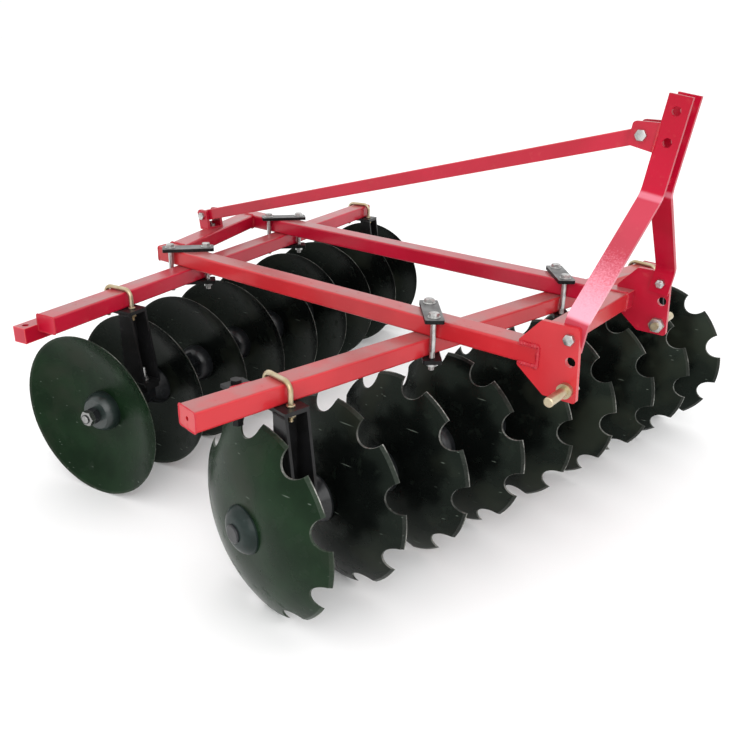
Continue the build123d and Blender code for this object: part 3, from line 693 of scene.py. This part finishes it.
# Clamps
# At each crossing of a rail and a beam a pair of thick black plates lies corner to corner, one over the rail
# and one under the beam, drawn together by two long zinc-plated bolts close to the tubes' sides.
black_coat = (0.006, 0.006, 0.006, 1)
faded_black = (0.012, 0.012, 0.013, 1)
dusty_black = (0.045, 0.045, 0.043, 1)
# Paler grey of the clamps' tops: partly dust and partly a painted sheen from above.
grey_dust_and_sheen = (0.19, 0.19, 0.19, 1)
primer_grey = (0.10, 0.10, 0.10, 1)
clamp_top = span("front_right_clamp")[1][2]


def black_enamel(name, gloss, coat):
    """Gloss black paint with a faint cloud, grey dust in the grain, small scuffs that show the primer, and,
    on what lies as high as the clamps' tops, a paler grey that is partly more dust and partly a painted
    sheen."""
    material, shader, place = new_finish(name)
    cloud = grain(place, 18.0, 3.0)
    colour = mixed(ease(cloud, 0.3, 0.75), black_coat, faded_black)
    dust = ease(grain(place, 90.0, 6.0), 0.58, 0.76)
    colour = mixed(dust * 0.3, colour, dusty_black)
    height = place.node("ShaderNodeSeparateXYZ", {}, {0: place}, 2)
    # Painted sheen with dust on what lies as high as the clamps' tops.
    top_dust_and_sheen = on_top(height, clamp_top) * (0.45 + ease(cloud, 0.35, 0.65) * 0.4)
    colour = mixed(top_dust_and_sheen, colour, grey_dust_and_sheen)
    scuffs = ease(grain(place, 260.0, 2.0), 0.70, 0.76)
    colour = mixed(scuffs * 0.5, colour, primer_grey)
    feed(shader, {
        "Base Color": colour,
        "Roughness": 0.28 + dust * 0.25 + cloud * 0.08,
        "Normal": raised(grain(place, 380.0, 2.0) + grain(place, 60.0, 2.0), 0.12, 0.0006),
        "Coat Weight": coat,
        "Coat Roughness": 0.15,
        "Specular IOR Level": gloss,
    })
    return material


black_paint = black_enamel("black_enamel", gloss=0.10, coat=0.03)
clamp_bolt_r = 0.007
clamp_nut_t = 0.0112
clamp_nut = (corner_share * clamp_bolt_r, clamp_nut_t)
clamp_top_washer = (0.0150, 0.0022)
clamp_foot_washer = (0.0140, 0.0020)
clamp_rod_plain = 0.085
clamp_rod_past = 0.010
clamp_gap = 0.003
reach_y = tube_w / 2 + clamp_bolt_r + clamp_gap
for gang, along in gang_lines.items():
    reach_x = reach_y * (1 - abs(along[0])) / along[1]
    reach = np.array([np.sign(along[0]) * reach_x, -reach_y, 0])
    skins = []
    for side in sides:
        name = gang + "_" + side + "_clamp"
        dress(black_paint, name)
        low, high = span(name)
        rod_length = high[2] - low[2] + clamp_nut_t + clamp_rod_past
        for end in (-1, 1):
            spot = (low + high) / 2 + end * reach
            top, foot = spot.copy(), spot.copy()
            top[2], foot[2] = high[2], low[2]
            skins += nut_on_washer(top, upward, clamp_bolt_r, clamp_top_washer, clamp_nut, (False, True))
            skins += nut_on_washer(foot, -upward, clamp_bolt_r, clamp_foot_washer, clamp_nut)
            skins.append(threaded_rod(top, -upward, clamp_bolt_r, clamp_rod_plain, rod_length))
    piece(gang + "_clamp_bolt_details", skins, zinc, "frame", (gang + "_clamp_bolts",))

# Hangers, U-bolts and bearings
# Each hanger is a black channel, open to the front, welded between a top plate and a foot plate. A
# yellow-plated U-bolt over the beam holds its top plate, and two bolts through its foot carry the cast
# bearing.
leg_out = 0.044
u_bolt_r = 0.006
u_bend = 0.020
u_step = 0.00033
u_pitch = 0.0018
u_thread = 0.040
u_columns = 20
u_nut = (corner_share * u_bolt_r, 0.0120)
u_washer = (0.0125, 0.0018)
u_collar_r, u_collar_t = 0.0095, 0.0050
hanger_half = 0.031
hanger_t = 0.010
hanger_throat = 0.003
web_out = 0.025
plate_out = 0.066
foot_out = 0.095
bearing_bolt_out = 0.066
bearing_bolt_end = 0.036
bearing_bolt_r = 0.006
bearing_corner = corner_share * bearing_bolt_r
bearing_nut = (bearing_corner, 0.0096)
bearing_washer = (0.0125, 0.0016)
bearing_flange_t = 0.012
bearing_plain = 0.012
bearing_length = hanger_t + bearing_bolt_end
hanger_welds = []
dull_black = black_enamel("hanger_enamel", gloss=0.20, coat=0.08)


def u_path(spot, across, top, low):
    """Line of a U-bolt: up one leg, a quarter circle, over the beam, another quarter circle and down the
    other leg."""
    bend = np.linspace(0, np.pi / 2, 12)
    rise = np.concatenate([np.arange(low, top - u_bend, u_step), [top - u_bend]])
    wide = np.concatenate([np.full(len(rise), -leg_out), -leg_out + u_bend * (1 - np.cos(bend[1:]))])
    tall = np.concatenate([rise, top - u_bend + u_bend * np.sin(bend[1:])])
    wide = np.concatenate([wide, -wide[::-1]])
    tall = np.concatenate([tall, tall[::-1]])
    return spot + wide[:, None] * across + tall[:, None] * upward


for gang, along in gang_lines.items():
    across = np.cross(upward, along)
    ends = (-hanger_half * along, hanger_half * along)
    bearing_bolts = []
    for side in sides:
        label = gang + "_" + side
        dress(dull_black, label + "_hanger", label + "_bearing")
        low, high = span(label + "_hanger")
        spot = (low + high) / 2 * (1, 1, 0)
        plate_low = high[2] - hanger_t
        foot_top = low[2] + hanger_t
        u_low, u_high = span(label + "_u_bolt")
        path = u_path(spot, across, u_high[2] - u_bolt_r, u_low[2])
        run = run_along(path)[:, None]
        end_gap = np.minimum(run, run[-1] - run)
        cut = thread_cut(run, u_pitch, end_gap < u_thread, end_gap, u_columns)
        skins = [swept(path, u_bolt_r - cut, along)]
        for leg in (-1, 1):
            foot = spot + leg * leg_out * across
            seat = foot + plate_low * upward
            skins += nut_on_washer(seat, -upward, u_bolt_r, u_washer, u_nut)
            skins.append(washer(foot + high[2] * upward, upward, u_collar_r, u_bolt_r, u_collar_t))
        piece(label + "_u_bolt_detail", skins, gold, "frame", (label + "_u_bolt",))
        for end in (-1, 1):
            foot = spot + end * bearing_bolt_out * across
            head = foot + (low[2] - bearing_flange_t) * upward
            bearing_bolts.append(hexagon(head, -upward, bearing_corner, bearing_bolt_r, (False, True)))
            seat = foot + foot_top * upward
            bearing_bolts += nut_on_washer(seat, upward, bearing_bolt_r, bearing_washer, bearing_nut)
            root = foot + low[2] * upward
            bearing_bolts.append(threaded_rod(root, upward, bearing_bolt_r, bearing_plain, bearing_length))
        for height, front_out in ((foot_top, foot_out), (plate_low, plate_out)):
            back = spot - web_out * across + height * upward
            front = spot - front_out * across + height * upward
            hanger_welds.append(weld([back + end for end in ends], upward, hanger_throat))
            for end in ends:
                hanger_welds.append(weld([back + end, front + end], upward, hanger_throat))
    piece(gang + "_bearing_bolt_details", bearing_bolts, zinc, "frame", (gang + "_bearing_bolts",))
piece("hanger_welds", hanger_welds, dull_black, "frame")
dress(black_paint, "front_side_bracket", "front_side_bolt")

# Gangs
# Square axle bars carry nine dished steel discs, notched on the front gang and plain on the rear one, with
# cast spools between them. The discs are dipped in green-black paint, and their ground edges and notches
# show bare steel. Along each gang the paint is painted green on the outer, lit discs and darkens to black on
# the shaded inner ones: painted light and shade.
disc_pitch = 0.200
first_back = -0.800
quarter_turns = (0, 0, 2, 3, 1, 2, 3, 2, 0)
turn_share = 0.7
bevel_start, bevel_end = 0.2238, 0.2248
edge_start, edge_end = 0.2286, 0.2296
edge_ragged = 0.0014
half_step = math.radians(20)
first_notch = math.radians(161)
notch_out = 0.232
notch_r = 0.036
notch_full, notch_end = 0.0002, 0.0009
# Green stands for the lit outer discs and black for the shaded inner ones: painted light and shade.
lit_disc_greens = ((0.0042, 0.0118, 0.0048, 1), (0.0074, 0.0205, 0.0082, 1))
shaded_disc_blacks = ((0.0022, 0.0028, 0.0026, 1), (0.0042, 0.0052, 0.0046, 1))
disc_dust = (0.020, 0.028, 0.020, 1)
disc_smear = (0.019, 0.022, 0.015, 1)
disc_scratch = (0.15, 0.18, 0.15, 1)
bare_steel = ((0.17, 0.17, 0.16, 1), (0.34, 0.33, 0.31, 1))
green_shine = (0.75, 1.0, 0.78, 1)


def disc_enamel(name, gang, notched, gloss, disc_shade):
    """Gloss paint with painted light and shade along the gang, green on the outer, lit disc darkening to
    black on the shaded inner ones, with dust, smears and fine bright scratches. By radius from the axle it is
    bare steel past the bevel, and it is bare along each notch, whose distance is taken after the angle is
    folded into one notch step."""
    material, shader, place = new_finish(name)
    axle, along = gang_axles[gang], gang_lines[gang]
    wide = measured(place, axle, np.cross(upward, along))
    tall = measured(place, axle, upward)
    run = measured(place, axle, along)
    radius = place.math("SQRT", wide * wide + tall * tall)
    ragged = (grain(place, 120.0, 3.0) - 0.5) * edge_ragged
    patchy = 0.15 + ease(grain(place, 14.0, 3.0), 0.42, 0.62) * 0.85
    bevel = ease(radius, bevel_start, bevel_end) * 0.05
    bare = place.math("MAXIMUM", bevel, ease(radius + ragged, edge_start, edge_end) * patchy)
    if notched:
        quarter = sum(
            place.math("GREATER_THAN", run, first_back + (index + turn_share) * disc_pitch) * (after - before)
            for index, (before, after) in enumerate(zip(quarter_turns, quarter_turns[1:]))
        )
        angle = place.math("ARCTAN2", tall, wide) - first_notch - quarter * math.radians(90)
        folded = place.node("ShaderNodeMath", {"operation": "WRAP"}, {0: angle, 1: half_step, 2: -half_step})
        out = radius * place.math("COSINE", folded) - notch_out
        over = radius * place.math("SINE", folded)
        gap = place.math("SQRT", out * out + over * over) - notch_r
        rim = (1 - ease(gap + ragged, notch_full, notch_end)) * patchy * 0.6
        bare = place.math("MAXIMUM", bare, rim)
    cloud = ease(grain(place, 11.0, 4.0), 0.35, 0.7)
    # Painted shade: the green of the outer disc darkens to black along the gang.
    disc_shade_start, disc_shade_end = (first_back + pitches * disc_pitch for pitches in disc_shade)
    colour = mixed(ease(run, disc_shade_start, disc_shade_end), mixed(cloud, *lit_disc_greens), mixed(cloud, *shaded_disc_blacks))
    dust = ease(grain(place, 32.0, 7.0), 0.56, 0.80)
    colour = mixed(dust * 0.35, colour, disc_dust)
    smears = ease(grain(place, 5.0, 3.0), 0.52, 0.68)
    colour = mixed(smears * 0.55, colour, disc_smear)
    stretch = {"Vector": place, "Rotation": (0.4, 0.9, 0.5), "Scale": (7, 110, 110)}
    drawn = place.node("ShaderNodeMapping", {}, stretch)
    streak = place.node("ShaderNodeTexVoronoi", {}, {"Vector": drawn, "Scale": 1.0})
    chance = place.node("ShaderNodeTexVoronoi", {}, {"Vector": drawn, "Scale": 1.0}, 1)
    scratches = (1 - ease(streak, 0.06, 0.18)) * ease(chance, 0.70, 0.74)
    colour = mixed(scratches * 0.55, colour, disc_scratch)
    steel = mixed(ease(grain(place, 200.0, 3.0), 0.35, 0.7), *bare_steel)
    feed(shader, {
        "Base Color": mixed(bare, colour, steel),
        "Metallic": bare * 0.7,
        "Roughness": 0.25 + dust * 0.30 + smears * 0.12 + bare * 0.12,
        "Normal": raised(grain(place, 300.0, 2.0) + grain(place, 40.0, 2.0) * 2.0, 0.08, 0.0008),
        "Specular IOR Level": gloss,
        "Specular Tint": green_shine,
    })
    return material


# Each gang's painted shade runs between these counts of disc pitches from the outer disc.
dress(disc_enamel("notched_disc_paint", "front", True, gloss=0.14, disc_shade=(0.5, 1.05)), "front_discs")
dress(disc_enamel("plain_disc_paint", "rear", False, gloss=0.09, disc_shade=(0.85, 1.75)), "rear_discs")

casting_blacks = ((0.006, 0.007, 0.008, 1), (0.014, 0.015, 0.017, 1))
washer_blacks = ((0.009, 0.016, 0.014, 1), (0.018, 0.028, 0.026, 1))
worn_grey = (0.10, 0.105, 0.11, 1)


def cast_black(name, blacks, gloss, wear):
    """Black paint over a rough casting: pitted skin, worn paler on its high spots."""
    material, shader, place = new_finish(name)
    pits = grain(place, 160.0, 5.0)
    cloud = grain(place, 22.0, 3.0)
    colour = mixed(ease(cloud, 0.3, 0.7), *blacks)
    worn = ease(pits, 0.60, 0.72)
    colour = mixed(worn * wear, colour, worn_grey)
    feed(shader, {
        "Base Color": colour,
        "Roughness": 0.26 + cloud * 0.12 + worn * 0.12,
        "Normal": raised(pits + grain(place, 45.0, 3.0), 0.22, 0.0010),
        "Coat Weight": 0.12,
        "Coat Roughness": 0.08,
        "Specular IOR Level": gloss,
    })
    return material


casting = cast_black("cast_black", casting_blacks, gloss=0.35, wear=0.30)
axle_zinc = zinc_plating("dull_zinc_plating", shade=0.6)
washer_gloss = {"front": 0.10, "rear": 0.50}
axle_corner = 0.022
axle_nut_t, axle_lock_t = 0.018, 0.016
nut_gap = 0.0002
axle_rod_r = 0.0132
axle_rod_plain = 0.012
axle_rod_past = 0.0045
for gang, along in gang_lines.items():
    dress(casting, gang + "_spools", gang + "_bearing_sleeves", gang + "_axle")
    washer_paint = cast_black(gang + "_washer_paint", washer_blacks, washer_gloss[gang], wear=0.10)
    dress(washer_paint, gang + "_end_washers")
    axle = gang_axles[gang]
    facing = along if gang == "front" else -along
    low, high = span(gang + "_axle_nuts")
    centre = (low + high) / 2
    centre[2] = axle[2]
    start = axle + np.dot(centre - axle, along) * along - facing * (axle_nut_t + axle_lock_t) / 2
    inner_nut = hexagon(start, facing, axle_corner, axle_nut_t - nut_gap)
    body = gang + "_gang"
    piece(gang + "_axle_nut_details", [inner_nut], casting, body, (gang + "_axle_nuts",))
    lock = start + axle_nut_t * facing
    outer_nut = hexagon(lock, facing, axle_corner, axle_lock_t)
    rod = threaded_rod(lock, facing, axle_rod_r, axle_rod_plain, axle_lock_t + axle_rod_past)
    piece(gang + "_axle_thread", [outer_nut, rod], axle_zinc, body)

# Camera
# It stands at the photograph's angle, in front of the machine's right-hand side, and holds the whole
# machine in view.
camera_data = bpy.data.cameras.new("camera")
camera_data.lens = 39.5
camera_data.sensor_width = 36.0
camera_data.dof.use_dof = False
camera = bpy.data.objects.new("camera", camera_data)
scene.collection.objects.link(camera)
camera_place = (1.4035, -1.8009, 1.211)
camera_right = Vector((0.7842, 0.6202, 0.0197)).normalized()
camera_back = Vector((0.5663, -0.7283, 0.3857)).normalized()
camera_up = camera_back.cross(camera_right)
camera_turn = Matrix((camera_right, camera_up, camera_back)).transposed().to_4x4()
camera.matrix_world = Matrix.Translation(camera_place) @ camera_turn
scene.camera = camera

# Studio
# An evenly white room whose ceiling is brighter than its walls, so that the tops of the tubes shine paler,
# with one soft light at the front and a plain pale floor.
scene.view_settings.view_transform = "Standard"
room = bpy.data.worlds.new("studio")
room.use_nodes = True
outlook = Tone(room.node_tree.nodes.new("ShaderNodeTexCoord").outputs["Generated"])
outlook = outlook.node("ShaderNodeSeparateXYZ", {}, {0: outlook}, 2)
brightness = 1.02 + ease(outlook, 0.12, 0.45) * 0.28
feed(room.node_tree.nodes["Background"], {"Color": (1, 1, 1, 1), "Strength": brightness})
scene.world = room

front_light = bpy.data.lights.new("front_light", "AREA")
front_light.size = 3.2
front_light.energy = 62
lamp = bpy.data.objects.new("front_light", front_light)
lamp.location = (2.5, -3.2, 2.4)
lamp_aim = Vector((0, 0, 0.4)) - lamp.location
lamp.rotation_euler = lamp_aim.to_track_quat("-Z", "Y").to_euler()
lamp.visible_camera = False
scene.collection.objects.link(lamp)

floor_half = 60
floor_corners = [(x * floor_half, y * floor_half, 0) for x, y in ((-1, -1), (1, -1), (1, 1), (-1, 1))]
floor_mesh = bpy.data.meshes.new("floor")
floor_mesh.from_pydata(floor_corners, [], [(0, 1, 2, 3)])
floor = bpy.data.objects.new("floor", floor_mesh)
scene.collection.objects.link(floor)
floor_paint = bpy.data.materials.new("floor")
floor_paint.use_nodes = True
floor_shader = floor_paint.node_tree.nodes["Principled BSDF"]
feed(floor_shader, {"Base Color": (0.93, 0.93, 0.93, 1), "Roughness": 0.9})
floor_mesh.materials.append(floor_paint)
